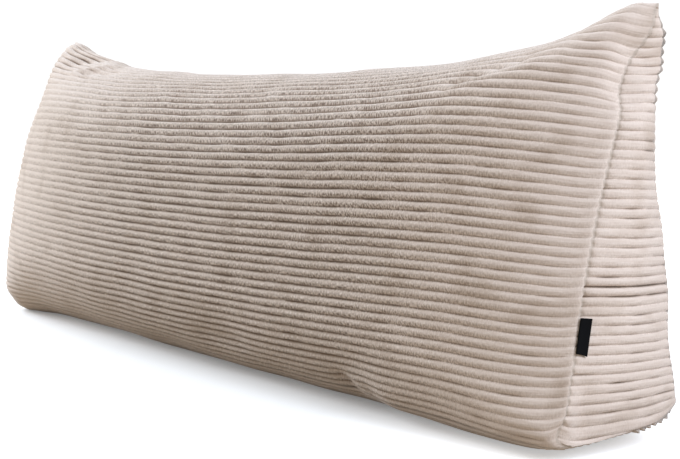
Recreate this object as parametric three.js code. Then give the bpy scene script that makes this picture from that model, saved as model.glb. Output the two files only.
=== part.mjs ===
// A long soft wedge of wide-ribbed cord cloth, stuffed firm, standing on its base, with a folded tab
// in the seam of its right end. Millimetres, +Z up, +X along the length, +Y from the front to the back.

import * as THREE from "three";

// The five cut panels, between their seams. The ribs of the cord run along the length.
const HALF_LENGTH = 700;
const RIB_PITCH = 11;
const FRONT_RIBS = 46;
const FRONT_PANEL = FRONT_RIBS * RIB_PITCH;
const BACK_PANEL = 486;
const BASE_PANEL = 200;
const LOOP = FRONT_PANEL + BACK_PANEL + BASE_PANEL;

// How the stuffing rounds the cloth, from the end seams to the middle of the length. A value starts at
// "seam", nears "middle" over about "reach" of length, and differs by "tilt" at the right end and
// by as much the other way at the left one. The toe is the front bottom edge, the heel the back one.
// The crest slide is how far the apex fold of the cloth has rolled over to the back.
const STUFFING = {
  crestRadius: { seam: 0, middle: 135, reach: 120, tilt: -5 },
  toeRadius: { seam: 0, middle: 120, reach: 100, tilt: -15 },
  heelRadius: { seam: 0, middle: 85, reach: 120, tilt: 0 },
  toeEdge: { seam: 15, middle: -34, reach: 200, tilt: -8 },
  heelEdge: { seam: 200, middle: 250, reach: 170, tilt: 0 },
  crestPlace: { seam: 152, middle: 115, reach: 120, tilt: -18 },
  frontLean: { seam: 24, middle: 22, reach: 150, tilt: -9 },
  crestSlide: { seam: 0, middle: 15, reach: 60, tilt: 12 },
};
const SLIDE_POWER = 2;
// Cloth lost in the gathers of an end seam, and how far the corners of the base curl off the floor.
const GATHER = { left: 10, right: 42, reach: 40 };
const CORNER_LIFT = { left: 6, right: 30, reach: 150, falloff: 2.5 };
// The stuffing sinks this far under its own weight, which flattens the base.
const FLOOR_SINK = 2.5;

// The two ends: how far their seams are drawn in at half height, and how far the panel swells out again.
const END_DRAWN_IN = 7;
const END_REACH = 100;
const END_FALLOFF = 1.5;
const END_CROWN = 20;

// The folded tab, sewn into the front seam of the right end.
const TAB_LENGTH = 40;
const TAB_WIDTH = 12;
const TAB_THICKNESS = 1.2;
const TAB_GAP = 0.5;
const TAB_FLARE = 1.5;
const TAB_FROM_SEAM = 1;
const TAB_LOWER_RIB = 9.1;

// Facets: between the seams of each panel, and from the middle of the length to an end.
const SLANT_STEPS = 22;
const BASE_STEPS = 10;
const HALF_STEPS = 22;
const HALF_SPACING_POWER = 1.7;
const TAB_STEPS = 6;

const FIRST_CREST_GUESS = 150;
const LAST_CREST_GUESS = 560;
const HALVINGS = 40;

// How far along the way from a seam to its full effect a stuffing value is.
const easedIn = (fromSeam, reach) => 1 - Math.exp(-fromSeam / reach);

// The named stuffing values of the cross-section at x.
function stuffingAt(x) {
  const fromSeam = HALF_LENGTH - Math.abs(x);
  const side = x / HALF_LENGTH;
  const values = {};
  for (const [name, { seam, middle, reach, tilt }] of Object.entries(STUFFING)) {
    const share = easedIn(fromSeam, reach) ** (name === "crestSlide" ? SLIDE_POWER : 1);
    const tilted = seam === 0 ? tilt * side * share : tilt * side;
    values[name] = seam + (middle - seam) * share + tilted;
  }
  const ofEnds = (ends) => (ends.left + ends.right) / 2 + ((ends.right - ends.left) / 2) * side;
  values.gather = ofEnds(GATHER) * Math.exp(-fromSeam / GATHER.reach);
  const curl = Math.max(0, 1 - fromSeam / CORNER_LIFT.reach);
  values.lift = ofEnds(CORNER_LIFT) * curl ** CORNER_LIFT.falloff;
  return values;
}

// The cloth goes round three discs of stuffing like a belt: toe, crest, heel, and back to the toe.
function discsAt(v, crestHeight) {
  return [
    { y: v.toeEdge + v.toeRadius, z: v.lift + v.toeRadius, radius: v.toeRadius },
    { y: v.crestPlace, z: crestHeight, radius: v.crestRadius },
    { y: v.heelEdge - v.heelRadius, z: v.lift + v.heelRadius, radius: v.heelRadius },
  ];
}

// The straight run from each disc to the next one: the angle of its outward normal, and its length.
function runsBetween(discs) {
  return discs.map((from, i) => {
    const to = discs[(i + 1) % discs.length];
    const dy = to.y - from.y;
    const dz = to.z - from.z;
    const apart = Math.hypot(dy, dz);
    const narrower = from.radius - to.radius;
    return {
      normal: Math.atan2(dz, dy) + Math.PI / 2 - Math.asin(narrower / apart),
      length: Math.sqrt(apart * apart - narrower * narrower),
    };
  });
}

const turnBetween = (before, after) => THREE.MathUtils.euclideanModulo(before - after, 2 * Math.PI);

function beltLength(discs) {
  const runs = runsBetween(discs);
  return runs.reduce((sum, run, i) => {
    const next = (i + 1) % runs.length;
    return sum + run.length + discs[next].radius * turnBetween(run.normal, runs[next].normal);
  }, 0);
}

// The crest stands as high as the sewn loop of cloth lets it: the rounder the section, the lower.
function crestHeightFor(v) {
  let low = FIRST_CREST_GUESS;
  let high = LAST_CREST_GUESS;
  for (let i = 0; i < HALVINGS; i++) {
    const middle = (low + high) / 2;
    if (beltLength(discsAt(v, middle)) < LOOP - v.gather) low = middle;
    else high = middle;
  }
  return (low + high) / 2;
}

// The cross-section at x, as a function from a place along the cut cloth to a point.
// Places run from 0 at the toe seam up the front panel, over the crest, down the back and along the base.
function sectionAt(x) {
  const v = stuffingAt(x);
  const crestHeight = crestHeightFor(v);
  const [toe, crest, heel] = discsAt(v, crestHeight);
  const [front, back, base] = runsBetween([toe, crest, heel]);
  const up = Math.PI / 2;
  const onDisc = (disc, angle) => ({
    y: disc.y + disc.radius * Math.cos(angle),
    z: disc.z + disc.radius * Math.sin(angle),
  });
  const arc = (disc, from, turn) => ({
    length: disc.radius * turn,
    at: (share) => onDisc(disc, from - turn * share),
  });
  const line = (disc, run) => ({
    length: run.length,
    at: (share) => {
      const start = onDisc(disc, run.normal);
      const gone = run.length * share;
      return { y: start.y + Math.sin(run.normal) * gone, z: start.z - Math.cos(run.normal) * gone };
    },
  });
  const stretches = [
    arc(crest, up, up - back.normal),
    line(crest, back),
    arc(heel, back.normal, turnBetween(back.normal, base.normal)),
    line(heel, base),
    arc(toe, base.normal, turnBetween(base.normal, front.normal)),
    line(toe, front),
    arc(crest, front.normal, front.normal - up),
  ].filter((stretch) => stretch.length > 0);
  const total = stretches.reduce((sum, stretch) => sum + stretch.length, 0);
  const top = crestHeight + crest.radius;

  return (place) => {
    const fromTop = ((place - FRONT_PANEL) * total) / LOOP + v.crestSlide;
    let left = THREE.MathUtils.euclideanModulo(fromTop, total);
    let i = 0;
    while (left > stretches[i].length && i < stretches.length - 1) {
      left -= stretches[i].length;
      i++;
    }
    const { y, z } = stretches[i].at(Math.min(left / stretches[i].length, 1));
    const lean = v.frontLean * Math.sin(Math.PI * THREE.MathUtils.clamp(z / top, 0, 1));
    return { y: y - lean, z: Math.max(z - FLOOR_SINK, 0) };
  };
}

// How far the cloth near an end is drawn in along X, at a height.
function drawnIn(x, z, apexHeight) {
  const nearness = Math.max(0, (Math.abs(x) - (HALF_LENGTH - END_REACH)) / END_REACH);
  const waist = Math.sin(Math.PI * THREE.MathUtils.clamp(z / apexHeight, 0, 1));
  return END_DRAWN_IN * nearness ** END_FALLOFF * waist;
}

function clothPoint(x, section, place, apexHeight) {
  const { y, z } = section(place);
  return new THREE.Vector3(x - Math.sign(x) * drawnIn(x, z, apexHeight), y, z);
}

// An end panel: rows that cross from the front seam to the back seam, crowned between them.
// Across goes from 0 at the front seam to 1 at the back one, height from 0 at the base to 1 at the apex.
function endPanelPoint(side, section, across, height) {
  const apexHeight = section(FRONT_PANEL).z;
  const onSeam = (place) => clothPoint(side * HALF_LENGTH, section, place, apexHeight);
  if (height === 0) return onSeam(LOOP - BASE_PANEL * across);
  const front = onSeam(FRONT_PANEL * height);
  const back = onSeam(LOOP - BASE_PANEL - BACK_PANEL * height);
  const between = front.lerp(back, across);
  const crown = Math.sin(Math.PI * across) * Math.sin(Math.PI * height) * Math.sqrt(1 - height);
  between.x += side * END_CROWN * crown;
  return between;
}

// One closed mesh: the tube of front, back and base panels, and the two end panels.
function cushionGeometry() {
  const places = [];
  for (let i = 0; i < SLANT_STEPS; i++) places.push((FRONT_PANEL * i) / SLANT_STEPS);
  for (let i = 0; i < SLANT_STEPS; i++) places.push(FRONT_PANEL + (BACK_PANEL * i) / SLANT_STEPS);
  for (let i = 0; i < BASE_STEPS; i++) places.push(LOOP - BASE_PANEL + (BASE_PANEL * i) / BASE_STEPS);
  const around = places.length;

  const stations = [];
  for (let i = -HALF_STEPS; i <= HALF_STEPS; i++) {
    const share = Math.abs(i) / HALF_STEPS;
    stations.push(Math.sign(i) * HALF_LENGTH * (1 - (1 - share) ** HALF_SPACING_POWER));
  }

  const points = [];
  for (const x of stations) {
    const section = sectionAt(x);
    const apexHeight = section(FRONT_PANEL).z;
    for (const place of places) points.push(clothPoint(x, section, place, apexHeight));
  }
  const faces = [];
  for (let i = 0; i < stations.length - 1; i++) {
    for (let j = 0; j < around; j++) {
      const here = i * around + j;
      const above = i * around + ((j + 1) % around);
      faces.push([here, here + around, above], [above, here + around, above + around]);
    }
  }

  for (const side of [-1, 1]) {
    const section = sectionAt(side * HALF_LENGTH);
    const ring = side < 0 ? 0 : (stations.length - 1) * around;
    const gridPoint = (row, column) => {
      if (row === SLANT_STEPS) return ring + SLANT_STEPS;
      if (row === 0) return ring + ((around - column) % around);
      if (column === 0) return ring + row;
      if (column === BASE_STEPS) return ring + 2 * SLANT_STEPS - row;
      return inner + (row - 1) * (BASE_STEPS - 1) + (column - 1);
    };
    const inner = points.length;
    for (let row = 1; row < SLANT_STEPS; row++) {
      for (let column = 1; column < BASE_STEPS; column++) {
        points.push(endPanelPoint(side, section, column / BASE_STEPS, row / SLANT_STEPS));
      }
    }
    for (let row = 0; row < SLANT_STEPS; row++) {
      for (let column = 0; column < BASE_STEPS; column++) {
        const a = gridPoint(row, column);
        const b = gridPoint(row, column + 1);
        const c = gridPoint(row + 1, column + 1);
        const d = gridPoint(row + 1, column);
        const turned = side > 0 ? [[a, b, c], [a, c, d]] : [[a, c, b], [a, d, c]];
        faces.push(...turned.filter(([p, q, r]) => p !== q && q !== r && p !== r));
      }
    }
  }

  const geometry = new THREE.BufferGeometry().setFromPoints(points);
  geometry.setIndex(faces.flat());
  geometry.computeVertexNormals();
  return geometry;
}

// The tab lies on the right end panel, from just behind the front seam, its free edge a little proud.
function tabGeometry() {
  const section = sectionAt(HALF_LENGTH);
  const lower = TAB_LOWER_RIB / FRONT_RIBS;
  const tall = TAB_LENGTH / FRONT_PANEL;
  const apexHeight = section(FRONT_PANEL).z;
  const layer = (proud) => {
    const points = [];
    for (let row = 0; row <= TAB_STEPS; row++) {
      const height = lower + (tall * row) / TAB_STEPS;
      const front = clothPoint(HALF_LENGTH, section, FRONT_PANEL * height, apexHeight);
      const back = clothPoint(HALF_LENGTH, section, LOOP - BASE_PANEL - BACK_PANEL * height, apexHeight);
      const width = front.distanceTo(back);
      for (let column = 0; column <= TAB_STEPS; column++) {
        const share = column / TAB_STEPS;
        const across = (TAB_FROM_SEAM + TAB_WIDTH * share) / width;
        const point = endPanelPoint(1, section, across, height);
        point.x += proud + TAB_FLARE * share * share;
        points.push(point);
      }
    }
    return points;
  };
  const points = [...layer(TAB_GAP), ...layer(TAB_GAP + TAB_THICKNESS)];
  const wide = TAB_STEPS + 1;
  const outer = wide * wide;
  const faces = [];
  const quad = (a, b, c, d) => faces.push([a, b, c], [a, c, d]);
  for (let row = 0; row < TAB_STEPS; row++) {
    for (let column = 0; column < TAB_STEPS; column++) {
      const a = row * wide + column;
      quad(a, a + wide, a + wide + 1, a + 1);
      quad(outer + a, outer + a + 1, outer + a + wide + 1, outer + a + wide);
    }
    const near = row * wide;
    const far = near + TAB_STEPS;
    quad(near, outer + near, outer + near + wide, near + wide);
    quad(far, far + wide, outer + far + wide, outer + far);
    const top = TAB_STEPS * wide + row;
    quad(row, row + 1, outer + row + 1, outer + row);
    quad(top, outer + top, outer + top + 1, top + 1);
  }
  const geometry = new THREE.BufferGeometry().setFromPoints(points);
  geometry.setIndex(faces.flat());
  geometry.computeVertexNormals();
  return geometry;
}

function namedMesh(name, geometry, look) {
  const mesh = new THREE.Mesh(geometry, new THREE.MeshStandardMaterial(look));
  mesh.name = name;
  return mesh;
}

const wedge = new THREE.Group();
wedge.add(
  namedMesh("cushion", cushionGeometry(), { color: 0xbfb0a4, roughness: 0.95, metalness: 0 }),
  namedMesh("side_tab", tabGeometry(), { color: 0x161617, roughness: 0.8, metalness: 0 }),
);

// The origin is the middle of the bounding box, on the floor.
const box = new THREE.Box3().setFromObject(wedge);
const middle = box.getCenter(new THREE.Vector3());
wedge.position.set(-middle.x, -middle.y, -box.min.z);

const part = new THREE.Group();
part.add(wedge);

export default part;
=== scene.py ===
"""A long soft wedge pillow of wide-ribbed cord cloth, with a folded tab in the seam of its right end.

The cloth is worked out in millimetres, in the maker's own frame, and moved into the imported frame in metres.
"""

import math
from collections import namedtuple

import bmesh
import bpy
import numpy as np
from mathutils import Matrix, Vector
from mathutils.bvhtree import BVHTree
from mathutils.interpolate import poly_3d_calc


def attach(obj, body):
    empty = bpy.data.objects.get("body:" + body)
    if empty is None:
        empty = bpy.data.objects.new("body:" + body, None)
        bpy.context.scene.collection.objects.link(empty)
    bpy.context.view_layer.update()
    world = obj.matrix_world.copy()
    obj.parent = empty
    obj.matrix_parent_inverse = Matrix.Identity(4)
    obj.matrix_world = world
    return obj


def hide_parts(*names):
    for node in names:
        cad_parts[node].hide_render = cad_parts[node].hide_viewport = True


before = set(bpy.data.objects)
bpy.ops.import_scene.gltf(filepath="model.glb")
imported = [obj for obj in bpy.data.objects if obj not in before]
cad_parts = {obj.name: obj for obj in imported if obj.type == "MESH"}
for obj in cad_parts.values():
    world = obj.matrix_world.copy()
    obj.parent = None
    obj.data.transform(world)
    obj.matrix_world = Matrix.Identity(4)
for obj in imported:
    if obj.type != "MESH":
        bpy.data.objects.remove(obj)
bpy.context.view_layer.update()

MM = 0.001
# Straight up, as the angle of a normal in a cross-section and as a direction.
UP = math.pi / 2
UPWARDS = np.array([0.0, 0.0, 1.0])
# Small enough to count as nothing, where a length that may be nothing divides.
TINY = 1e-9

# The cut panels, between their seams. The ribs of the cord run along the length.
HALF_LENGTH = 700.0
RIB_PITCH = 11.0
FRONT_RIBS = 46
BACK_RIBS = 44
BASE_RIBS = 18
FRONT_PANEL = FRONT_RIBS * RIB_PITCH
BACK_PANEL = 486.0
BASE_PANEL = 200.0
HEEL_SEAM = FRONT_PANEL + BACK_PANEL
LOOP = HEEL_SEAM + BASE_PANEL
# The base seam cuts off this many ribs of an end panel before they reach the back seam.
CUT_RIBS = 1.6

# How the stuffing rounds the cloth, from the end seams to the middle of the length. A value starts at
# "seam", nears "middle" over about "reach" of length, and differs by "tilt" at the right end and
# by as much the other way at the left one.
Stuffing = namedtuple("Stuffing", "seam middle reach tilt")
STUFFING = {
    "crest_radius": Stuffing(0, 135, 120, -5),
    "toe_radius": Stuffing(0, 120, 100, -15),
    "heel_radius": Stuffing(0, 85, 120, 0),
    "toe_edge": Stuffing(15, -34, 200, -8),
    "heel_edge": Stuffing(200, 250, 170, 0),
    "crest_place": Stuffing(152, 115, 120, -18),
    "front_lean": Stuffing(24, 22, 150, -9),
    "crest_slide": Stuffing(0, 15, 60, 12),
}
# The crest's slide starts as this power of its share.
SLIDE_POWER = 2
# The slack cloth of an ear slips down its front: by so much, most at "reach" from the seam, round the
# place "at" on the cloth.
EAR_SLACK = {"left": 0, "right": 3, "reach": 40, "at": 458, "width": 33}
# Cloth lost in the gathers of an end seam, how far the corners of the base curl off the floor, and how far
# the floor presses the base flat.
GATHER = {"left": 10, "right": 42, "reach": 40}
CORNER_LIFT = {"left": 6, "right": 30, "reach": 150, "falloff": 2.5}
FLOOR_SINK = 2.5
# An end's seams are drawn in at half their height, over the last stretch of the length, and its panel bulges.
END_DRAWN_IN = 7
END_REACH = 100
END_FALLOFF = 1.5
END_CROWN = 20
# Between which heights the crest is looked for, and how often their gap is halved.
CREST_GUESSES = (150, 560)
HALVINGS = 40
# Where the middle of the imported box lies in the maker's frame.
BOX_MIDDLE_Y = 93.35


def stuffing_at(x):
    """The named stuffing values of the cross-section at x."""
    from_seam = HALF_LENGTH - abs(x)
    side = x / HALF_LENGTH
    values = {}
    for name, row in STUFFING.items():
        share = 1 - math.exp(-from_seam / row.reach)
        if name == "crest_slide":
            share **= SLIDE_POWER
        tilt = row.tilt * side * (share if row.seam == 0 else 1)
        values[name] = row.seam + (row.middle - row.seam) * share + tilt

    def of_ends(ends):
        return (ends["left"] + ends["right"]) / 2 + (ends["right"] - ends["left"]) / 2 * side

    values["gather"] = of_ends(GATHER) * math.exp(-from_seam / GATHER["reach"])
    nearness = from_seam / EAR_SLACK["reach"]
    values["slack"] = of_ends(EAR_SLACK) * nearness * math.exp(1 - nearness)
    curl = max(0, 1 - from_seam / CORNER_LIFT["reach"])
    values["lift"] = of_ends(CORNER_LIFT) * curl ** CORNER_LIFT["falloff"]
    return values


def discs_at(v, crest_height):
    """The cloth goes round three discs of stuffing like a belt: toe, crest and heel, each (y, z, radius)."""
    return [
        (v["toe_edge"] + v["toe_radius"], v["lift"] + v["toe_radius"], v["toe_radius"]),
        (v["crest_place"], crest_height, v["crest_radius"]),
        (v["heel_edge"] - v["heel_radius"], v["lift"] + v["heel_radius"], v["heel_radius"]),
    ]


def runs_between(discs):
    """The straight run from each disc to the next: the angle of its outward normal, and its length."""
    runs = []
    for here, (y, z, radius) in enumerate(discs):
        next_y, next_z, next_radius = discs[(here + 1) % len(discs)]
        apart = math.hypot(next_y - y, next_z - z)
        narrower = radius - next_radius
        normal = math.atan2(next_z - z, next_y - y) + UP - math.asin(narrower / apart)
        runs.append((normal, math.sqrt(apart * apart - narrower * narrower)))
    return runs


def turn_between(before, after):
    return (before - after) % (2 * math.pi)


def belt_length(discs):
    runs = runs_between(discs)
    length = 0
    for here, (normal, run) in enumerate(runs):
        following = (here + 1) % len(runs)
        length += run + discs[following][2] * turn_between(normal, runs[following][0])
    return length


def crest_height_for(v):
    """The crest stands as high as the sewn loop lets it: the rounder the section, the lower."""
    low, high = CREST_GUESSES
    for _ in range(HALVINGS):
        middle = (low + high) / 2
        if belt_length(discs_at(v, middle)) < LOOP - v["gather"]:
            low = middle
        else:
            high = middle
    return (low + high) / 2


def section_at(x):
    """The cross-section at x: a function from places along the cut cloth to y and z.

    Places run from 0 at the toe seam up the front, over the crest, down the back and along the base.
    """
    v = stuffing_at(x)
    crest_height = crest_height_for(v)
    toe, crest, heel = discs_at(v, crest_height)
    (front, front_run), (back, back_run), (base, base_run) = runs_between([toe, crest, heel])
    heel_stop = back - turn_between(back, base)
    toe_stop = base - turn_between(base, front)
    # Each stretch: its disc, the angles of its normal at the start and stop, and its straight run.
    stretches = [
        (crest, UP, back, 0),
        (crest, back, back, back_run),
        (heel, back, heel_stop, 0),
        (heel, base, base, base_run),
        (toe, base, toe_stop, 0),
        (toe, front, front, front_run),
        (crest, front, UP, 0),
    ]
    disc_y, disc_z, radius = np.array([disc for disc, *_ in stretches], float).T
    start, stop, run = np.array([rest for _, *rest in stretches], float).T
    lengths = radius * abs(stop - start) + run
    ends = np.cumsum(lengths)
    total = ends[-1]
    top = crest_height + crest[2]

    def at(places):
        slack = v["slack"] * np.exp(-((places - EAR_SLACK["at"]) / EAR_SLACK["width"]) ** 2)
        gone = ((places - FRONT_PANEL) * total / LOOP + v["crest_slide"] - slack) % total
        i = np.minimum(np.searchsorted(ends, gone), len(stretches) - 1)
        share = (gone - (ends - lengths)[i]) / np.maximum(lengths[i], TINY)
        angle = start[i] + (stop - start)[i] * share
        y = disc_y[i] + radius[i] * np.cos(angle) + np.sin(start[i]) * run[i] * share
        z = disc_z[i] + radius[i] * np.sin(angle) - np.cos(start[i]) * run[i] * share
        lean = v["front_lean"] * np.sin(math.pi * np.clip(z / top, 0, 1))
        return y - lean, np.maximum(z - FLOOR_SINK, 0)

    return at


def tube_points(stations, places):
    """The front, back and base panels, a column of points at each station along X."""
    points = np.zeros((len(stations), len(places), 3))
    for column, x in enumerate(stations):
        section = section_at(x)
        y, z = section(places)
        apex_height = section(np.array([FRONT_PANEL]))[1][0]
        nearness = max(0, (abs(x) - (HALF_LENGTH - END_REACH)) / END_REACH)
        waist = np.sin(math.pi * np.clip(z / apex_height, 0, 1))
        drawn_in = END_DRAWN_IN * nearness ** END_FALLOFF * waist
        points[column] = np.stack([x - np.sign(x) * drawn_in, y, z], -1)
    return points


def back_place(rows):
    """Where the ribs of an end panel, counted from the toe, end: on the base seam, or on the back one."""
    on_base = LOOP - BASE_PANEL * rows / CUT_RIBS
    on_back = HEEL_SEAM - BACK_PANEL * (rows - CUT_RIBS) / (FRONT_RIBS - CUT_RIBS)
    return np.where(rows < CUT_RIBS, on_base, on_back)


def end_points(side, rows, across):
    """An end panel: a row of points along each rib, from the front seam to the back or base one."""
    seam_x = np.array([side * HALF_LENGTH])
    front = tube_points(seam_x, rows * RIB_PITCH)[0][:, None]
    back = tube_points(seam_x, back_place(rows))[0][:, None]
    share = across[None, :, None]
    points = front + (back - front) * share
    height = (rows / FRONT_RIBS)[:, None]
    crown = np.sin(math.pi * across)[None] * np.sin(math.pi * height) * np.sqrt(1 - height)
    points[:, :, 0] += side * END_CROWN * crown
    return points


# Soft moves of the cloth: what lies near the line from "start" to "stop" goes by "move", and the move fades
# over "width".
Fold = namedtuple("Fold", "name start stop move width")
FOLDS = [
    Fold("right ear pinch", (700, 112, 432), (698, 98, 400), (-13, 0, -2), 22),
    Fold("right ear fullness", (698, 124, 470), (698, 116, 446), (0, 3, -4), 20),
    Fold("right ear back edge", (699, 138, 452), (699, 138, 425), (3, 12, 0), 18),
    Fold("right ear crest", (684, 130, 484), (645, 118, 464), (0, 0, 4), 14),
    Fold("right ear shoulder", (655, 82, 452), (640, 74, 440), (0, 0, -3), 14),
    Fold("right ear valley", (490, 26, 394), (578, 60, 430), (0, 3, -3), 8),
    Fold("right ear swell", (510, 22, 388), (600, 50, 422), (0, -3, 2), 12),
    Fold("blunt right tip", (700, 134, 498), (690, 134, 494), (0, 3, -7), 15),
    Fold("right back fullness", (700, 165, 240), (700, 170, 180), (2, 6, 0), 36),
    Fold("right back edge", (700, 150, 390), (700, 190, 160), (2, 4, 0), 30),
    Fold("right toe tuck", (700, 0, 20), (700, 50, 25), (-7, -3, -6), 30),
    Fold("right toe fullness", (430, -12, 12), (640, -8, 12), (0, -13, -4), 45),
    Fold("right heel lift", (700, 195, 10), (700, 175, 10), (-4, -4, 8), 45),
    Fold("right base sag", (700, 20, 14), (700, 160, 24), (0, 0, -6), 20),
    Fold("right heel corner", (700, 206, 20), (690, 206, 20), (1, -2, 12), 20),
    Fold("left crest", (-580, 132, 452), (-250, 112, 424), (0, 0, 3), 36),
    Fold("right crest", (260, 104, 430), (690, 132, 488), (0, 0, 3), 32),
    Fold("right end dent", (700, 30, 82), (700, 34, 44), (-6, 0, -2), 13),
    Fold("right toe knot", (700, 6, 36), (694, -2, 18), (-6, 3, 2), 10),
    Fold("left toe lift", (-700, 10, 5), (-690, 0, 5), (16, 6, 15), 32),
    Fold("left end fullness", (-700, 40, 70), (-700, 110, 330), (-6, 0, 0), 60),
    Fold("left ear crest", (-650, 150, 478), (-480, 130, 442), (0, 0, 7), 26),
    Fold("left ear tip", (-700, 152, 495), (-690, 152, 492), (0, 0, -8), 14),
    Fold("left ear crease", (-510, 72, 431), (-446, 116, 439), (0, -6, 3), 9),
    Fold("left ear hollow", (-570, 104, 443), (-505, 134, 445), (0, 11, -5), 16),
    Fold("left second crease", (-500, 64, 424), (-435, 74, 425), (0, -3, 1), 7),
    Fold("left second hollow", (-478, 76, 431), (-400, 86, 428), (0, 4, -3), 8),
    Fold("front pleat hollow", (338, -14, 34), (344, -2, 8), (0, 7, 3), 14),
    Fold("front pleat swell", (368, -20, 36), (370, -6, 8), (-1, -4, -1), 13),
    Fold("front dent", (30, -26, 57), (125, -25, 56), (0, 3, 0), 14),
]

# Grooves of the right end panel, counted in ribs from the toe, that are pressed so much deeper.
DEEP_GROOVES = {16: 2.6, 15: 2.2}
DEEP_GROOVE_WIDTH = 0.16
# Hollows of the cloth where all the grooves are deeper by this share, and so also get more painted groove
# shade.
Hollow = namedtuple("Hollow", "name at width share")
PRESSED = [
    Hollow("left ear", (-575, 126, 452), 60, 2.2),
    Hollow("left second crease", (-455, 76, 426), 35, 0.5),
]

# The ribs: rows of points across one rib of the panels and of the base, as shares of its width.
RIB_SHARES = (0, 0.18, 0.4, 0.6, 0.82)
BASE_SHARES = (0, 0.2, 0.5, 0.8)
# How deep the grooves between the ribs are, and how flat the ribs' tops: the power of their arch.
TUBE_RIBS = {"depth": 3.8, "flatness": 2.2, "uneven": 0.16}
END_RIBS = {"depth": 2.4, "flatness": 4.6, "uneven": 0.26}
# Towards the ends the cloth lies smoother: places along X, and how deep the grooves still are there.
SMOOTHER_ENDS = ((-640, -450, -100, 300, 620), (0.48, 0.42, 1, 1, 0.6))
# A point this near the start of its rib, as a share of it, lies at the bottom of the groove.
GROOVE_BOTTOM = 0.001
# The share of a groove's depth that is left at an end seam.
DEPTH_AT_SEAM = 0.55
RIB_WANDER = 0.22

# Columns of points along X: their distances from an end seam, then even steps over the rest.
NEAR_SEAM = (0, 1.3, 3, 5.5, 8.5, 12, 16, 21, 27, 34, 42, 51, 61, 72, 84, 97, 111, 126, 142)
MIDDLE_COLUMNS = 100
# Columns of an end panel, from the front seam to the back one, and how much they crowd towards both.
END_COLUMNS = 38
END_COLUMNS_CROWD = 0.09
SEAM_LIP = 1.3

# How the cloth dips towards an end seam, the share of the dip that a groove has less than a rib, and how
# far the seam itself is drawn in behind both panels.
SEAM_DIP = 1.8
SEAM_DIP_REACH = 3.0
LESS_DIP_IN_GROOVE = 0.5
SEAM_DRAW = 2.0
SEAM_DRAW_REACH = 2.5
# The folds at the apex, toe and heel stay full: so near these places neither dips nor grooves are cut.
SHARP_PLACES = {0: 6, FRONT_PANEL: 60, HEEL_SEAM: 6, LOOP: 6}
SHARP_REACH = 14
SHARP_END_WIDTH = 28
# Beside the seam the ribs of the end panels are pinched round, and every rib steps the seam sideways.
PINCH = {"depth": 3.0, "flatness": 1.8, "reach": 5.5}
SEAM_STEP = 3.6
SEAM_STEP_REACH = 6
STEPLESS_RIBS = 5

# Where the ribs end in a row of knobs that stand out beyond the end panel, from place "start" to "stop".
Knobs = namedtuple("Knobs", "name side start stop out down")
KNOBS = [
    Knobs("right heel", 1, HEEL_SEAM + 8, HEEL_SEAM + 95, 5, 3),
    Knobs("right ear back", 1, FRONT_PANEL + 24, FRONT_PANEL + 130, 3.5, 0),
    Knobs("left front", -1, 14, FRONT_PANEL - 14, 6, 0),
]
KNOB_FLATNESS = 1.2
KNOB_REACH = 7
KNOB_FADE = 12
# The corners of the cover, at both ends of the toe, apex and heel, are rounded over this radius, in so
# many steps of so much each.
CORNER_RADIUS = 17
CORNER_STEPS = 16
CORNER_SOFTNESS = 0.5

# The bake's layout: so many millimetres of cloth to its side, a margin beside the tube for the seams, and
# where the end panels lie above the tube.
BAKED = 1400
BAKE_MARGIN = 0.002
BAKE_END = {"left": 0.002, "right": 0.5, "above": 0.856}

# Lumps of stuffing under the cloth: their height, and the sizes of their waves.
LUMP_HEIGHT = 0.8
LUMP_WAVES = (70, 220)
LUMP_FADE = 30
WANDER_WAVES = (60, 200)
UNEVEN_WAVES = (18, 60)
WAVES = 14


def soft_noise(points, wave_sizes, seed):
    """Smooth unevenness about 1 high at the points: waves of several sizes, in all directions."""
    random = np.random.default_rng(seed)
    total = np.zeros(points.shape[:-1])
    for _ in range(WAVES):
        direction = random.normal(size=3)
        direction /= np.linalg.norm(direction)
        size = random.uniform(*wave_sizes)
        total += np.cos(points @ direction * (2 * math.pi / size) + random.uniform(0, 2 * math.pi))
    return total / math.sqrt(WAVES / 2)


def rib_rows(ribs, shares):
    """The rows of points of a panel, counted in ribs from its first groove."""
    return np.array([rib + share for rib in range(ribs) for share in shares])


def unit(vectors):
    return vectors / np.maximum(np.linalg.norm(vectors, axis=-1, keepdims=True), TINY)


def surface_normals(points, outward):
    """The unit normals of a grid of points, on the side where outward is 1, or else -1."""
    return unit(np.cross(np.gradient(points, axis=0), np.gradient(points, axis=1)) * outward)


def rib_hollow(ribs, flatness):
    """1 at the bottom of a groove, 0 on top of a rib, at positions counted in ribs."""
    return abs(2 * (ribs % 1) - 1) ** flatness


def stepped(points, ribs, seam_distance):
    """The points beside the front seam, moved sideways so that each rib steps over the one below."""
    share = ribs % 1
    step = SEAM_STEP * (1 - 2 * share) * (1 - rib_hollow(ribs, TUBE_RIBS["flatness"]))
    step = step * np.clip((FRONT_RIBS - ribs) / STEPLESS_RIBS, 0, 1)
    moved = points.copy()
    moved[..., 1] += step * np.exp(-seam_distance / SEAM_STEP_REACH)
    return moved


def folded(points):
    """The points moved by every fold."""
    moved = points.copy()
    for fold in FOLDS:
        start, stop = np.array(fold.start, float), np.array(fold.stop, float)
        line = stop - start
        share = np.clip((points - start) @ line / (line @ line), 0, 1)
        distance = np.linalg.norm(points - start - share[..., None] * line, axis=-1)
        moved += np.exp(-(distance / fold.width) ** 2)[..., None] * np.array(fold.move, float)
    return moved


def seam_drop(distance):
    """How far the cloth lies under its smooth surface at a distance from an end seam."""
    return SEAM_DIP * np.exp(-distance / SEAM_DIP_REACH)


def seam_draw(distance):
    """How far the cloth at a distance from an end seam is drawn in behind the other panel."""
    return SEAM_DRAW * np.exp(-distance / SEAM_DRAW_REACH)


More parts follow.
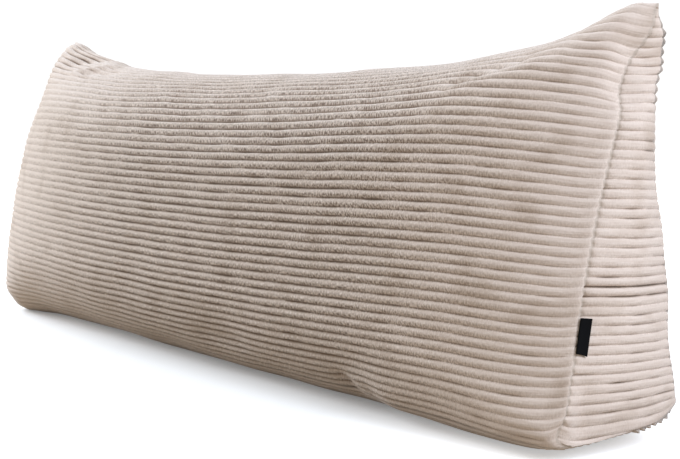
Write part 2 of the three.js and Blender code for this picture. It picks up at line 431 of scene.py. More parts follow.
def pressed(points):
    """How many times as deep as elsewhere the grooves are at the points."""
    factor = np.ones(points.shape[:-1])
    for hollow in PRESSED:
        distance = np.linalg.norm(points - np.array(hollow.at, float), axis=-1)
        factor += hollow.share * np.exp(-(distance / hollow.width) ** 2)
    return factor


def lumps_at(points, seam_distance):
    return LUMP_HEIGHT * soft_noise(points, LUMP_WAVES, seed=3) * (1 - np.exp(-seam_distance / LUMP_FADE))


def shaped(points, normals, ribs, seam_distance, rib_direction, cut, pinch=0, deeper=0, sharp=0):
    """The smooth cloth with its lumps, ribs and sunk seams, and the depth of its grooves as a share of the
    usual one, which sets the ground cloth's tone and the painted shade in the grooves.

    The ribs are pinched where pinch nears 1, the grooves are deeper by so many millimetres, and
    nothing is cut where sharp nears 1.
    """
    away = 1 - np.exp(-seam_distance / LUMP_FADE)
    lumps = lumps_at(points, seam_distance)
    wander = RIB_WANDER * soft_noise(points, WANDER_WAVES, seed=5) * away
    uneven = 1 + cut["uneven"] * soft_noise(points, UNEVEN_WAVES, seed=8)
    hollow = rib_hollow(ribs, cut["flatness"] + (PINCH["flatness"] - cut["flatness"]) * pinch)
    depth = (cut["depth"] + PINCH["depth"] * pinch) * hollow * uneven
    depth = depth * (DEPTH_AT_SEAM + (1 - DEPTH_AT_SEAM) * away) * pressed(points) + deeper
    dip = seam_drop(seam_distance) * (1 - LESS_DIP_IN_GROOVE * hollow)
    drop = depth * (1 - sharp ** 2) + dip * (1 - sharp)
    moved = points + normals * (lumps - drop)[..., None] + rib_direction * wander[..., None]
    moved[..., 2] = np.maximum(moved[..., 2], 0)
    return moved, depth / TUBE_RIBS["depth"]


class Cover:
    """The closed cord cover: a tube of three panels, and an end panel zipped to it at each side."""

    def __init__(self, stations, front, back, base, across):
        """Its stations along X, its rows of points up each panel in ribs, and the columns of its ends."""
        self.stations = stations
        self.places = np.concatenate([
            front * FRONT_PANEL / FRONT_RIBS,
            FRONT_PANEL + back * BACK_PANEL / BACK_RIBS,
            HEEL_SEAM + base * BASE_PANEL / BASE_RIBS,
        ])
        self.ribs = np.concatenate([front, back, base])
        self.rows = np.append(front, FRONT_RIBS)
        self.across = across
        self.tube = folded(tube_points(stations, self.places))
        self.ends = {side: folded(end_points(side, self.rows, across)) for side in (-1, 1)}

    def settle(self, settled):
        self.tube = settled(self.tube)
        self.ends = {side: settled(points) for side, points in self.ends.items()}


def make_fine_cover():
    half = np.array(NEAR_SEAM) - HALF_LENGTH
    middle = np.linspace(half[-1], -half[-1], MIDDLE_COLUMNS + 1)[1:-1]
    stations = np.concatenate([half, middle, -half[::-1]])
    front, back = rib_rows(FRONT_RIBS, RIB_SHARES), rib_rows(BACK_RIBS, RIB_SHARES)
    across = np.linspace(0, 1, END_COLUMNS + 1)
    across = across - END_COLUMNS_CROWD * np.sin(2 * math.pi * across)
    return Cover(stations, front, back, rib_rows(BASE_RIBS, BASE_SHARES), across)


# The stuffing presses on the cover in a short cloth simulation of a coarse copy, remeshed in voxels of so
# many millimetres. The fine cloth then goes with the copy, at most so many millimetres, by its moves
# smoothed so many times. What lies lower than so many millimetres rests on the floor and stays.
SETTLING_VOXEL = 14
SETTLING_FRAMES = 12
SETTLING_CLOTH = {
    "use_pressure": True,
    "uniform_pressure_force": 0.5,
    "tension_stiffness": 80,
    "compression_stiffness": 80,
    "shear_stiffness": 5,
    "bending_stiffness": 0.5,
    "mass": 0.3,
}
SETTLING_FARTHEST = 3
SETTLING_SMOOTHING = 6
RESTS_BELOW = 12
# The points of the coarse copy along X, up a panel, across the base and across an end panel, and the share
# by which an end panel's edges stand back from its seams.
COARSE_COLUMNS, COARSE_ROWS, COARSE_BASE_ROWS, COARSE_ACROSS = 57, 31, 13, 9
COARSE_INSET = 0.04


def make_coarse_cover():
    stations = np.linspace(-HALF_LENGTH, HALF_LENGTH, COARSE_COLUMNS)
    front, back = (np.linspace(0, ribs, COARSE_ROWS)[:-1] for ribs in (FRONT_RIBS, BACK_RIBS))
    base = np.linspace(0, BASE_RIBS, COARSE_BASE_ROWS)[:-1]
    return Cover(stations, front, back, base, np.linspace(0, 1, COARSE_ACROSS))


def coordinates(mesh):
    """The vertices of a mesh as an array, in the maker's millimetres."""
    places = np.zeros(3 * len(mesh.vertices))
    mesh.vertices.foreach_get("co", places)
    return places.reshape(-1, 3) / MM + [0, BOX_MIDDLE_Y, 0]


def voxel_cover(cover):
    """The coarse cover as one even mesh, without its ribs."""
    ends = {}
    for side, points in cover.ends.items():
        middle = (points[:, :1] + points[:, -1:]) / 2
        ends[side] = (points + (middle - points) * COARSE_INSET, np.zeros(points.shape[:2]))
    vertices, faces, _, _ = cover_mesh(cover, (cover.tube, np.zeros(cover.tube.shape[:2])), ends)
    piece = new_piece("settling_cover", vertices, faces)
    bpy.context.view_layer.objects.active = piece
    remesh = piece.modifiers.new("remesh", "REMESH")
    remesh.mode = "VOXEL"
    remesh.voxel_size = SETTLING_VOXEL * MM
    bpy.ops.object.modifier_apply(modifier=remesh.name)
    return piece


def simulated(piece, rest):
    """Where the vertices of the piece go while the stuffing presses on them."""
    resting = piece.vertex_groups.new(name="resting")
    resting.add(np.flatnonzero(rest[:, 2] < RESTS_BELOW).tolist(), 1, "REPLACE")
    cloth = piece.modifiers.new("stuffing", "CLOTH").settings
    for name, value in SETTLING_CLOTH.items():
        setattr(cloth, name, value)
    cloth.effector_weights.gravity = 0
    cloth.vertex_group_mass = resting.name
    for number in range(1, SETTLING_FRAMES + 1):
        bpy.context.scene.frame_set(number)
    places = coordinates(piece.evaluated_get(bpy.context.evaluated_depsgraph_get()).data)
    bpy.context.scene.frame_set(1)
    return places


def settling(cover):
    """A function that moves points of the smooth cloth as the simulation moves the coarse cover."""
    piece = voxel_cover(cover)
    rest = coordinates(piece.data)
    moves = simulated(piece, rest) - rest
    moves *= np.minimum(1, SETTLING_FARTHEST / np.maximum(np.linalg.norm(moves, axis=1, keepdims=True), TINY))
    edges = np.zeros(2 * len(piece.data.edges), int)
    piece.data.edges.foreach_get("vertices", edges)
    one, other = edges.reshape(-1, 2).T
    neighbours = np.bincount(edges, minlength=len(rest))[:, None]
    for _ in range(SETTLING_SMOOTHING):
        total = np.zeros_like(moves)
        np.add.at(total, one, moves[other])
        np.add.at(total, other, moves[one])
        moves = (moves + total / neighbours) / 2
    polygons = [tuple(polygon.vertices) for polygon in piece.data.polygons]
    tree = BVHTree.FromPolygons(rest.tolist(), polygons)
    bpy.data.objects.remove(piece)

    def settled(points):
        flat = points.reshape(-1, 3)
        moved = flat.copy()
        for number, point in enumerate(flat.tolist()):
            place, _, face, _ = tree.find_nearest(point)
            corners = list(polygons[face])
            weights = poly_3d_calc([Vector(rest[corner]) for corner in corners], place)
            moved[number] += np.array(weights) @ moves[corners]
        return moved.reshape(points.shape)

    return settled


def tube_normals(cover):
    return surface_normals(np.concatenate([cover.tube, cover.tube[:, :1]], 1), 1)[:, :-1]


def tube_with_ribs(cover):
    normals = tube_normals(cover)
    seam_distance = (HALF_LENGTH - abs(cover.stations))[:, None] + 0 * cover.places
    direction = unit(np.gradient(cover.tube, axis=1))
    ribs = cover.ribs[None] + 0 * seam_distance
    on_front = cover.places < FRONT_PANEL
    points = np.where(on_front[None, :, None], stepped(cover.tube, ribs, seam_distance), cover.tube)
    nearness = [np.exp(-((cover.places - place) / width) ** 2) for place, width in SHARP_PLACES.items()]
    sharp = np.max(nearness, axis=0) * np.exp(-seam_distance / SHARP_REACH)
    softer = np.interp(cover.stations, *SMOOTHER_ENDS)[:, None]
    cut = {**TUBE_RIBS, "depth": TUBE_RIBS["depth"] * softer}
    points, bare_and_shaded = shaped(points, normals, ribs, seam_distance, direction, cut, sharp=sharp)
    points[..., 0] -= np.sign(cover.stations)[:, None] * seam_draw(seam_distance) * (1 - sharp)
    for row in KNOBS:
        there = np.clip((cover.places - row.start) / KNOB_FADE, 0, 1)
        there = there * np.clip((row.stop - cover.places) / KNOB_FADE, 0, 1)
        there = there * (1 - rib_hollow(ribs, KNOB_FLATNESS)) * np.exp(-(seam_distance / KNOB_REACH) ** 2)
        there = there * (np.sign(cover.stations) == row.side)[:, None]
        points[..., 0] += row.side * row.out * there
        points[..., 2] = np.maximum(points[..., 2] - row.down * there, 0)
    return points, bare_and_shaded


def end_with_ribs(cover, side):
    """An end panel, its edge a little inside the seam."""
    points = cover.ends[side].copy()
    front, back = points[:, :1], points[:, -1:]
    width = np.linalg.norm(back - front, axis=-1)
    inset = np.minimum(SEAM_LIP, width / 4)
    share = cover.across[None]
    from_front = inset + (width - 2 * inset) * share
    points += (from_front / np.maximum(width, TINY) - share)[..., None] * (back - front)
    normals = surface_normals(points, -side)
    normals[0], normals[-1] = normals[1], normals[-2]
    seam_distance = np.minimum(from_front, width - from_front)
    ribs = cover.rows[:, None] + 0 * seam_distance
    points = stepped(points, ribs, from_front)
    deeper = 0
    for rib, depth in DEEP_GROOVES.items():
        deeper = deeper + depth * np.exp(-((ribs - rib) / DEEP_GROOVE_WIDTH) ** 2) * (side > 0)
    pinch = np.exp(-seam_distance / PINCH["reach"])
    sharp = np.exp(-(width / SHARP_END_WIDTH) ** 2) + 0 * seam_distance
    points, bare_and_shaded = shaped(points, normals, ribs, seam_distance, UPWARDS, END_RIBS, pinch, deeper, sharp)
    ring_normals = tube_normals(cover)[0 if side < 0 else -1]
    edges = (cover.rows * RIB_PITCH, from_front), (back_place(cover.rows), width - from_front)
    for places, distance in edges:
        behind = np.stack([np.interp(places, cover.places, axis) for axis in ring_normals.T], -1)
        points -= behind[:, None] * (seam_draw(distance) * (1 - sharp))[..., None]
    return points, bare_and_shaded


def bake_across(x):
    """Where cloth at x lies across the bake of the tube, inside a margin for the seams."""
    return BAKE_MARGIN + (1 - 2 * BAKE_MARGIN) * (x + HALF_LENGTH) / (2 * HALF_LENGTH)


def end_grid(cover, start):
    """The vertex numbers of an end panel, whose first and last rows are one point each, and the next."""
    rows, columns = len(cover.rows), len(cover.across)
    grid = np.zeros((rows, columns), int)
    grid[0] = start
    grid[1:-1] = start + 1 + np.arange((rows - 2) * columns).reshape(rows - 2, columns)
    grid[-1] = start + 1 + (rows - 2) * columns
    return grid, int(grid[-1, 0]) + 1


def grid_faces(grid, side):
    faces = []
    for row in range(len(grid) - 1):
        for column in range(grid.shape[1] - 1):
            near, far = grid[row, column:column + 2], grid[row + 1, column:column + 2]
            face = tuple(dict.fromkeys(near.tolist() + far.tolist()[::-1]))
            faces.append(face if side > 0 else face[::-1])
    return faces


def end_edge(cover, grid):
    """The edge of an end panel from the toe round the apex and the heel, with its places on the loop."""
    up_front, down_back = grid[:-1, 0], grid[:0:-1, -1]
    places = np.concatenate([cover.rows[:-1] * RIB_PITCH, back_place(cover.rows[:0:-1])])
    return up_front.tolist() + down_back.tolist(), places


def zip_rings(outer, outer_places, inner, inner_places, side):
    """Triangles between two rings of vertices, each with its places along the same seam, and their bake."""
    outer_bake = bake_across(side * HALF_LENGTH)
    inner_bake = outer_bake + side * BAKE_MARGIN
    outer_places, inner_places = np.append(outer_places, LOOP), np.append(inner_places, LOOP)
    outer = [(vertex, outer_bake, place) for vertex, place in zip(outer + outer[:1], outer_places)]
    inner = [(vertex, inner_bake, place) for vertex, place in zip(inner + inner[:1], inner_places)]
    steps = [(place, False) for place in outer_places[1:]] + [(place, True) for place in inner_places[1:]]
    here, there = 0, 0
    faces, layout = [], []
    for _, on_inner in sorted(steps):
        if on_inner:
            corners = [outer[here], inner[there + 1], inner[there]]
            there += 1
        else:
            corners = [outer[here], outer[here + 1], inner[there]]
            here += 1
        corners = corners[::-side]
        faces.append(tuple(vertex for vertex, _, _ in corners))
        layout += [(across, place / BAKED) for _, across, place in corners]
    return faces, layout


# What the cloth knows at each vertex: how far along the ribs it lies and how far across them, which share of
# its rib it has passed, how far the nearest end seam is, and how deep its groove is, which sets the ground
# cloth's darker tone and the painted shade in the groove.
CLOTH_KNOWS = ("along_mm", "across_mm", "rib_share", "seam_mm", "bare_and_shaded")


def cloth_rows(*measures):
    """What the cloth knows, a row for each point of a grid."""
    return np.stack(np.broadcast_arrays(*measures), -1).reshape(-1, len(CLOTH_KNOWS))


def cover_mesh(cover, tube, ends):
    """The closed cover: its vertices, its faces, where these lie in the bake, and what the cloth knows."""
    tube, tube_bare_and_shaded = tube
    columns, around = tube.shape[:2]
    vertices = [tube.reshape(-1, 3)]
    from_seam = HALF_LENGTH - abs(cover.stations)
    cloth = [cloth_rows(cover.stations[:, None], cover.places, cover.ribs % 1, from_seam[:, None], tube_bare_and_shaded)]
    faces, layout = [], []
    across_bake = bake_across(cover.stations)
    round_bake = np.append(cover.places, LOOP) / BAKED
    for column in range(columns - 1):
        left, right = across_bake[column:column + 2]
        for row in range(around):
            here = column * around + row
            above = column * around + (row + 1) % around
            faces.append((here, here + around, above + around, above))
            low, high = round_bake[row:row + 2]
            layout += [(left, low), (right, low), (right, high), (left, high)]
    start = columns * around
    for side in (-1, 1):
        grid, start = end_grid(cover, start)
        points, bare_and_shaded = ends[side]
        _, kept = np.unique(grid, return_index=True)
        vertices.append(points.reshape(-1, 3)[kept])
        width = np.linalg.norm(points[:, -1] - points[:, 0], axis=-1)[:, None]
        along = width * cover.across
        rows = cover.rows[:, None]
        from_seam = np.minimum(along, width - along)
        known = cloth_rows(side * (HALF_LENGTH + along), rows * RIB_PITCH, rows % 1, from_seam, bare_and_shaded)
        cloth.append(known[kept])
        panel_faces = grid_faces(grid, side)
        faces += panel_faces
        panel_bake = {}
        for (row, column), vertex in np.ndenumerate(grid):
            rib = cover.rows[row] if side < 0 else FRONT_RIBS - cover.rows[row]
            up = BAKE_END["left" if side < 0 else "right"] + rib * RIB_PITCH / BAKED
            panel_bake[int(vertex)] = (up, BAKE_END["above"] + along[row, column] / BAKED)
        layout += [panel_bake[vertex] for face in panel_faces for vertex in face]
        ring = [(columns - 1) * around * (side > 0) + row for row in range(around)]
        edge, edge_places = end_edge(cover, grid)
        zipped, zipped_bake = zip_rings(ring, cover.places, edge, edge_places, side)
        faces += zipped
        layout += zipped_bake
    return np.concatenate(vertices), faces, layout, np.concatenate(cloth)


def put_in_scene(data):
    thing = bpy.data.objects.new(data.name, data)
    bpy.context.scene.collection.objects.link(thing)
    return thing


def new_piece(name, vertices, faces):
    """A smooth mesh object from points in the maker's millimetres."""
    moved = (vertices - [0, BOX_MIDDLE_Y, 0]) * MM
    mesh = bpy.data.meshes.new(name)
    mesh.from_pydata(moved.tolist(), [], faces)
    mesh.validate()
    mesh.shade_smooth()
    return put_in_scene(mesh)


def make_cushion(settled):
    cover = make_fine_cover()
    cover.settle(settled)
    ends = {side: end_with_ribs(cover, side) for side in (-1, 1)}
    vertices, faces, layout, cloth = cover_mesh(cover, tube_with_ribs(cover), ends)
    piece = new_piece("cord_cushion", vertices, faces)
    bake = piece.data.uv_layers.new(name="OFBake")
    bake.uv.foreach_set("vector", np.array(layout, np.float32).ravel())
    for name, values in zip(CLOTH_KNOWS, cloth.T):
        attribute = piece.data.attributes.new(name, "FLOAT", "POINT")
        attribute.data.foreach_set("value", values.astype(np.float32))
    round_corners(piece, cover)
    crease_grooves(piece, cloth[:, CLOTH_KNOWS.index("rib_share")])
    return piece


def round_corners(piece, cover):
    """Round the pointed corners of the cover, where its seams and folds meet."""
    shape = bmesh.new()
    shape.from_mesh(piece.data)
    all_axes = {"use_axis_x": True, "use_axis_y": True, "use_axis_z": True}
    rows = [int(np.argmin(abs(cover.places - place))) for place in (0, FRONT_PANEL, HEEL_SEAM)]
    for corner in [cover.tube[end, row] for end in (0, -1) for row in rows]:
        at = (Vector(corner) - Vector((0, BOX_MIDDLE_Y, 0))) * MM
        near = [vertex for vertex in shape.verts if (vertex.co - at).length < CORNER_RADIUS * MM]
        for _ in range(CORNER_STEPS):
            bmesh.ops.smooth_vert(shape, verts=near, factor=CORNER_SOFTNESS, **all_axes)
    shape.to_mesh(piece.data)
    shape.free()


def crease_grooves(piece, rib_share):
    """Keep the shading sharp along the bottom of each groove."""
    edges = np.zeros(2 * len(piece.data.edges), int)
    piece.data.edges.foreach_get("vertices", edges)
    in_groove = (rib_share[edges] < GROOVE_BOTTOM).reshape(-1, 2).all(1)
    sharp = piece.data.attributes.new("sharp_edge", "BOOLEAN", "EDGE")
    sharp.data.foreach_set("value", in_groove)


# The folded tab: a ribbon of twice its width, folded at the free edge and caught in the front seam of the
# right end. Its lower edge is counted in ribs from the toe, and it lies so far over the ribs' tops.
TAB_LENGTH = 40
TAB_WIDTH = 12
TAB_LOWER_RIB = 9.2
TAB_FROM_SEAM = 0.8
TAB_CLOTH = 0.4
TAB_LAYERS_APART = 0.8
TAB_OVER_RIBS = 0.25
# The share of the panel's dip beside the seam that the tab follows.
TAB_IN_DIP = 0.9
# How far the free edge hangs and stands off at its lower and upper corners, and how late it starts to.
TAB_DROOP = {"lower": 3, "upper": 0.5, "power": 1.5}
TAB_FLARE = {"lower": 1, "upper": 3.2, "power": 2}
TAB_ROWS = 40
TAB_COLUMNS = 12
TAB_FOLD_STEPS = 6
# The panel under the tab is known this far beyond it, so that its slopes are known at the tab's edges.
TAB_SPARE = 2
TAB_SPARE_COLUMNS = 3


def tab_section():
    """The folded ribbon cut across: how far each point lies from the seam and out from the panel.

    It runs along the ribbon's under side, round the fold and back, and then along its upper side.
    """
    fold_radius = TAB_LAYERS_APART / 2
    straight = np.linspace(TAB_FROM_SEAM, TAB_WIDTH - fold_radius, TAB_COLUMNS)
    turn = np.linspace(-UP, UP, TAB_FOLD_STEPS + 1)[1:-1]
    sides = []
    for half in (TAB_CLOTH / 2, -TAB_CLOTH / 2):
        radius = fold_radius + half
        under, over = np.full(TAB_COLUMNS, fold_radius - radius), np.full(TAB_COLUMNS, fold_radius + radius)
        from_seam = np.concatenate([straight, straight[-1] + radius * np.cos(turn), straight[::-1]])
        out = np.concatenate([under, fold_radius + radius * np.sin(turn), over])
        sides.append(np.stack([from_seam, out], -1))
    return np.concatenate([sides[0], sides[1][::-1]])


def at_free_edge(row, share, height):
    """How much of a droop or flare there is at a share of the tab's width and of its height."""
    return (row["lower"] + (row["upper"] - row["lower"]) * height) * share ** row["power"]


def make_tab(settled):
    across, out = tab_section().T
    heights = np.linspace(0, 1, TAB_ROWS)
    rows = TAB_LOWER_RIB + heights * TAB_LENGTH / RIB_PITCH
    edges = settled(folded(end_points(1, rows, np.array([0.0, 1.0]))))
    width = np.linalg.norm(edges[:, 1] - edges[:, 0], axis=-1).mean()
    from_seam = np.linspace(0, TAB_WIDTH + TAB_SPARE, TAB_COLUMNS + TAB_SPARE_COLUMNS)
    panel = settled(folded(end_points(1, rows, from_seam / width)))
    normals = surface_normals(panel, -1)
    lift = lumps_at(panel, from_seam + 0 * heights[:, None]) - TAB_IN_DIP * seam_drop(from_seam)

    def under_tab(values):
        """The values of the panel, known at from_seam, at each point of the tab's section."""
        return np.stack([np.interp(across, from_seam, column) for column in values.T], -1)

    share = across / TAB_WIDTH
    around = len(across)
    vertices = np.zeros((TAB_ROWS, around, 3))
    for row, height in enumerate(heights):
        raised = out + under_tab(lift[row][:, None])[:, 0] + TAB_CLOTH / 2 + TAB_OVER_RIBS
        raised = raised + at_free_edge(TAB_FLARE, share, height)
        vertices[row] = under_tab(panel[row]) + unit(under_tab(normals[row])) * raised[:, None]
        vertices[row, :, 2] -= at_free_edge(TAB_DROOP, share, height)
    faces = []
    for row in range(TAB_ROWS - 1):
        for here in range(around):
            near, far = row * around + here, row * around + (here + 1) % around
            faces.append((near + around, far + around, far, near))
    half = around // 2
    for row in (0, TAB_ROWS - 1):
        for here in range(half - 1):
            near, far = row * around + here, row * around + around - 1 - here
            face = (near, far, far - 1, near + 1)
            faces.append(face if row > 0 else face[::-1])
    piece = new_piece("folded_tab", vertices.reshape(-1, 3), faces)
    piece.data.materials.append(black_ribbon())
    return piece


# The colour sockets of Blender's Mix node, by number, because their names repeat.
MIX_SHARE, MIX_LOW, MIX_HIGH, MIX_RESULT = 0, 6, 7, 2


def linear(hex_colour):
    """An sRGB hex colour as the linear colour that the shader takes."""
    parts = [int(hex_colour[i:i + 2], 16) / 255 for i in (1, 3, 5)]
    return (*(p / 12.92 if p <= 0.04045 else ((p + 0.055) / 1.055) ** 2.4 for p in parts), 1)


def set_inputs(tree, node, inputs):
    """Each input gets a value, a hex colour, or a link from another node's output."""
    for name, value in inputs.items():
        if isinstance(value, bpy.types.NodeSocket):
            tree.links.new(value, node.inputs[name])
        else:
            node.inputs[name].default_value = linear(value) if isinstance(value, str) else value


def add_node(tree, kind, inputs=None, **settings):
    """A shader node with its settings and its inputs."""
    node = tree.nodes.new("ShaderNode" + kind)
    for name, value in settings.items():
        setattr(node, name, value)
    set_inputs(tree, node, inputs or {})
    return node


def new_material(name):
    material = bpy.data.materials.new(name)
    material.use_nodes = True
    return material, material.node_tree, material.node_tree.nodes["Principled BSDF"]


# The pile in full light and in its own shade; its dark specks, a pile texture painted darkest low on each rib
# as painted shade; its pale tuft tips, a painted highlight where tufts catch the light; the ground cloth
# between the ribs, its own darker tone together with painted shade in the grooves; and a darker tone along an
# end seam, painted shade where the cloth dips into it.
PILE_LIGHT = "#DACABE"
PILE_DARK = "#C4B1A2"
PILE_EVEN = "#CFBDB0"
PILE_SHADE = "#B39F8E"
SPECK_SHADE = "#6F5C4D"
TUFT_TIP_HIGHLIGHT = "#EFE4DA"
SHADED_GROUND_CLOTH = "#8C7663"
SEAM_SHADE = "#C2B3A6"
# The marks of the pile, and their sizes in millimetres along and across the ribs. Tufts and specks are drawn
# about twice as large as real ones, which would be finer than the photo shows.
PILE_MARKS = {"tufts": (1.6, 3.2), "specks": (1.9, 3.6), "streaks": (26, 2.6), "nap": (60, 60)}
PILE_MARK_DETAIL = 2
# How much of a thing shows: a share that goes from low to high while a mark, or what the cloth knows, goes
# from start to stop. The pile is rough over the middle of the length and smoother at the ends and crest, and
# the painted speck shade and tip highlights follow the roughness; the speck shade gathers low on each rib,
# which turns down from the light.
Shows = namedtuple("Shows", "what by start stop low high")
PILE_SHOWS = [
    Shows("rough from the left", "along_mm", -620, -150, 0.25, 1),
    Shows("rough to the right", "along_mm", 380, 660, 1, 0.12),
    Shows("rough to the crest", "across_mm", 330, 490, 1, 0.45),
    # Painted shade: the dark specks gather low on each rib, whose lower side turns down from the light.
    Shows("shade low on the rib", "rib_share", 0.25, 0.7, 1, 0.1),
    Shows("dark specks", "specks", 0.53, 0.42, 0, 1),
    # Painted highlight: pale tuft tips where the tufts catch the light.
    Shows("tip highlights", "specks", 0.54, 0.66, 0, 0.6),
    Shows("light tufts", "tufts", 0.3, 0.7, 0, 1),
    Shows("light streaks", "streaks", 0.3, 0.7, 0, 1),
    Shows("raised nap", "nap", 0.15, 0.45, 0, 1),
    # Painted shade along an end seam, fading out over its first millimetres.
    Shows("clear of the seam", "seam_mm", 0.4, 1.6, 0, 1),
    # Painted shade in the grooves: the ground cloth's darker tone shows more the deeper the groove.
    Shows("groove", "bare_and_shaded", 0.35, 1.05, 0, 1),
]
# What two of them give together.
Joined = namedtuple("Joined", "what operation one other")
PILE_JOINED = [
    Joined("rough along", "MINIMUM", "rough from the left", "rough to the right"),
    Joined("rough", "MULTIPLY", "rough along", "rough to the crest"),
    Joined("smooth", "SUBTRACT", 1, "rough"),
    Joined("rough specks", "MULTIPLY", "dark specks", "rough"),
    Joined("painted shade specks", "MULTIPLY", "rough specks", "shade low on the rib"),
    Joined("rough tip highlights", "MULTIPLY", "tip highlights", "rough"),
    Joined("high specks", "MULTIPLY", "specks", 2),
    Joined("high tufts", "ADD", "high specks", "tufts"),
    Joined("rough relief", "MULTIPLY", "high tufts", "rough"),
    Joined("smooth streaks", "MULTIPLY", "streaks", "smooth"),
    Joined("smooth relief", "MULTIPLY", "smooth streaks", 0.6),
    Joined("relief", "ADD", "rough relief", "smooth relief"),
]
# The colours laid over each other, from one to the other as the share grows.
Layer = namedtuple("Layer", "what share low high")
PILE_LAYERS = [
    Layer("smooth pile", "light streaks", PILE_EVEN, PILE_LIGHT),
    Layer("tufted pile", "light tufts", PILE_DARK, PILE_LIGHT),
    Layer("pile", "rough", "smooth pile", "tufted pile"),
    Layer("napped pile", "raised nap", PILE_SHADE, "pile"),
    # Dark specks of painted shade, heaviest low on each rib.
    Layer("speck shaded pile", "painted shade specks", "napped pile", SPECK_SHADE),
    # Pale tuft tips, a painted highlight.
    Layer("tip highlighted pile", "rough tip highlights", "speck shaded pile", TUFT_TIP_HIGHLIGHT),
    # Painted shade along an end seam, where the cloth dips into it.
    Layer("seam shaded pile", "clear of the seam", SEAM_SHADE, "tip highlighted pile"),
    # The grooves: the ground cloth's own tone together with painted shade.
    Layer("cord", "groove", "seam shaded pile", SHADED_GROUND_CLOTH),
]
PILE_RELIEF = 1.1


def cord_pile():
    """Cut-pile cotton cord: matt, soft at grazing angles, with tufts, a shaded nap and dark specks.

    The grooves are darker and warmer, the ground cloth's own tone together with painted shade that grows with
    the groove's depth; the dark specks are painted shade, heaviest low on each rib, which turns down from the
    light, and the pale tuft tips are a painted highlight.
    """
    material, tree, shader = new_material("cotton_cord_cut_pile")
    cloth = {name: add_node(tree, "Attribute", attribute_name=name).outputs["Fac"] for name in CLOTH_KNOWS}
    place = add_node(tree, "CombineXYZ", {"X": cloth["along_mm"], "Y": cloth["across_mm"]}).outputs[0]
    for name, (along, across) in PILE_MARKS.items():
        scale = (1 / along, 1 / across, 1)
        sized = add_node(tree, "VectorMath", {0: place, 1: scale}, operation="MULTIPLY").outputs[0]
        noise = add_node(tree, "TexNoise", {"Vector": sized, "Scale": 1, "Detail": PILE_MARK_DETAIL})
        cloth[name] = noise.outputs["Fac"]
    for row in PILE_SHOWS:
        span = {"From Min": row.start, "From Max": row.stop, "To Min": row.low, "To Max": row.high}
        cloth[row.what] = add_node(tree, "MapRange", {"Value": cloth[row.by], **span}).outputs[0]
    for row in PILE_JOINED:
        pair = {0: cloth.get(row.one, row.one), 1: cloth.get(row.other, row.other)}
        cloth[row.what] = add_node(tree, "Math", pair, operation=row.operation).outputs[0]
    for row in PILE_LAYERS:
        low, high = cloth.get(row.low, row.low), cloth.get(row.high, row.high)
        mix = {MIX_SHARE: cloth[row.share], MIX_LOW: low, MIX_HIGH: high}
        cloth[row.what] = add_node(tree, "Mix", mix, data_type="RGBA").outputs[MIX_RESULT]
    bump = add_node(tree, "Bump", {"Height": cloth["relief"], "Strength": 1, "Distance": PILE_RELIEF * MM})
    set_inputs(tree, shader, {
        "Base Color": cloth["cord"],
        "Roughness": 0.92,
        "Specular IOR Level": 0.2,
        "Sheen Weight": 0.35,
        "Sheen Roughness": 0.45,
        "Normal": bump.outputs[0],
    })
    return material


RIBBON_BLACK = "#0B0B0D"
RIBBON_RIB = 0.9
RIBBON_RELIEF = 0.2
# Blender's wave texture makes this many bands per unit at scale 1.
WAVE_TURNS = 20 / (2 * math.pi)


def black_ribbon():
    """Black polyester ribbon, woven with fine cross ribs, half matt and plain.

    The cross ribs are drawn 0.9 mm wide, a little coarser than real ones.
    """
    material, tree, shader = new_material("woven_polyester_ribbon_black")
    place = add_node(tree, "TexCoord").outputs["Object"]
    ribs_wide = {"Vector": place, "Scale": 1 / (RIBBON_RIB * MM) / WAVE_TURNS, "Distortion": 0.3}
    ribs = add_node(tree, "TexWave", ribs_wide, bands_direction="Z").outputs["Fac"]
    bump = add_node(tree, "Bump", {"Height": ribs, "Strength": 0.6, "Distance": RIBBON_RELIEF * MM})
    set_inputs(tree, shader, {
        "Base Color": RIBBON_BLACK,
        "Roughness": 0.7,
        "Specular IOR Level": 0.08,
        "Normal": bump.outputs[0],
    })
    return material


# The floor in metres: how far it reaches each way, and how far it lies under the cushion.
FLOOR_REACH = 8.0
FLOOR_BELOW = -0.0004
# The floor as it is seen, and the darker tone with which it lights the cloth from below.
FLOOR_WHITE = "#F7F7F7"
FLOOR_GIVES_BACK = "#ADA08E"
# The floor's glow: from where, from and to which distance it rises, and its least and greatest strength.
FLOOR_GLOW_FROM = (-0.3, 0, 0)
FLOOR_GLOW = {"From Min": 0.65, "From Max": 1.6, "To Min": 0.19, "To Max": 1.1}


def matt_white_board():
    """Matt white board, lit evenly far out, so that floor and background meet without an edge."""
    material, tree, shader = new_material("matt_white_board")
    seen = add_node(tree, "LightPath").outputs["Is Camera Ray"]
    mix = {MIX_SHARE: seen, MIX_LOW: FLOOR_GIVES_BACK, MIX_HIGH: FLOOR_WHITE}
    white = add_node(tree, "Mix", mix, data_type="RGBA").outputs[MIX_RESULT]
    place = add_node(tree, "NewGeometry").outputs["Position"]
    far = add_node(tree, "VectorMath", {0: place, 1: FLOOR_GLOW_FROM}, operation="DISTANCE").outputs["Value"]
    glow = add_node(tree, "MapRange", {"Value": far, **FLOOR_GLOW}).outputs[0]
    strength = add_node(tree, "Math", {0: glow, 1: seen}, operation="MULTIPLY").outputs[0]
    set_inputs(tree, shader, {
        "Base Color": white,
        "Roughness": 0.95,
        "Specular IOR Level": 0.1,
        "Emission Color": "#FFFFFF",
        "Emission Strength": strength,
    })
    return material


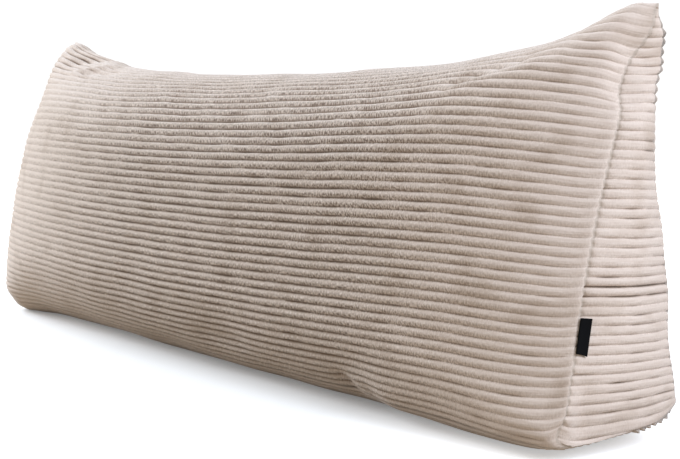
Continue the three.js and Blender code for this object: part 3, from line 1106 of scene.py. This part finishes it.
def make_floor():
    mesh = bpy.data.meshes.new("studio_floor")
    ways = ((-1, -1), (1, -1), (1, 1), (-1, 1))
    corners = [(x * FLOOR_REACH, y * FLOOR_REACH, FLOOR_BELOW) for x, y in ways]
    mesh.from_pydata(corners, [], [(0, 1, 2, 3)])
    mesh.materials.append(matt_white_board())
    return put_in_scene(mesh)


# The camera, fitted to the ribs and outline in the photograph's frame of 680 x 459 pixels.
IMAGE_WIDTH = 680
FOCAL_PIXELS = 1413.7
CAMERA_AT = (1695.2, -1071.1, 380.6)
CAMERA_YAW = 52.10
CAMERA_PITCH = 5.18
CAMERA_ROLL = 0.24


def make_camera():
    data = bpy.data.cameras.new("camera")
    data.sensor_fit = "HORIZONTAL"
    data.lens = data.sensor_width * FOCAL_PIXELS / IMAGE_WIDTH
    camera = put_in_scene(data)
    x, y, z = CAMERA_AT
    place = Matrix.Translation(Vector((x, y - BOX_MIDDLE_Y, z)) * MM)
    turn = Matrix.Rotation(math.radians(CAMERA_YAW), 4, "Z")
    tilt = Matrix.Rotation(math.radians(90 - CAMERA_PITCH), 4, "X")
    roll = Matrix.Rotation(math.radians(CAMERA_ROLL), 4, "Z")
    camera.matrix_world = place @ turn @ tilt @ roll
    bpy.context.scene.camera = camera


# The studio's white as it is seen, and the little light that its walls give back to the cloth.
SEEN_WHITE = 1.05
ROOM_LIGHT = 0.49
ROOM_TINT = "#FFFBF5"
# Square softboxes that face the cushion: where each stands and its size, in metres, and its power in watts.
SOFTBOX_AIM = (0, 0, 0.2)
Softbox = namedtuple("Softbox", "name at size power tint")
SOFTBOXES = [
    Softbox("left_softbox", (-3.1, -1.5, 2.0), 2.2, 174, "#E8F3FF"),
    Softbox("right_softbox", (2.5, 0.2, 1.6), 1.6, 68, "#DFECFF"),
]


def make_world():
    world = bpy.data.worlds.new("studio")
    bpy.context.scene.world = world
    world.use_nodes = True
    tree = world.node_tree
    seen = add_node(tree, "LightPath").outputs["Is Camera Ray"]
    strength = add_node(tree, "MapRange", {"Value": seen, "To Min": ROOM_LIGHT, "To Max": SEEN_WHITE})
    mix = {MIX_SHARE: seen, MIX_LOW: ROOM_TINT, MIX_HIGH: "#FFFFFF"}
    colour = add_node(tree, "Mix", mix, data_type="RGBA")
    looks = {"Color": colour.outputs[MIX_RESULT], "Strength": strength.outputs[0]}
    set_inputs(tree, tree.nodes["Background"], looks)


def make_softbox(row):
    data = bpy.data.lights.new(row.name, "AREA")
    data.shape = "SQUARE"
    data.size = row.size
    data.energy = row.power
    data.color = linear(row.tint)[:3]
    light = put_in_scene(data)
    light.location = row.at
    aim = Vector(SOFTBOX_AIM) - light.location
    light.rotation_euler = aim.to_track_quat("-Z", "Y").to_euler()


bpy.context.scene.view_settings.view_transform = "Standard"
settled = settling(make_coarse_cover())
cushion = make_cushion(settled)
cushion.data.materials.append(cord_pile())
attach(cushion, "root")
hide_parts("cushion")
tab = make_tab(settled)
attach(tab, "root")
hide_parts("side_tab")
make_floor()
make_camera()
make_world()
for softbox in SOFTBOXES:
    make_softbox(softbox)
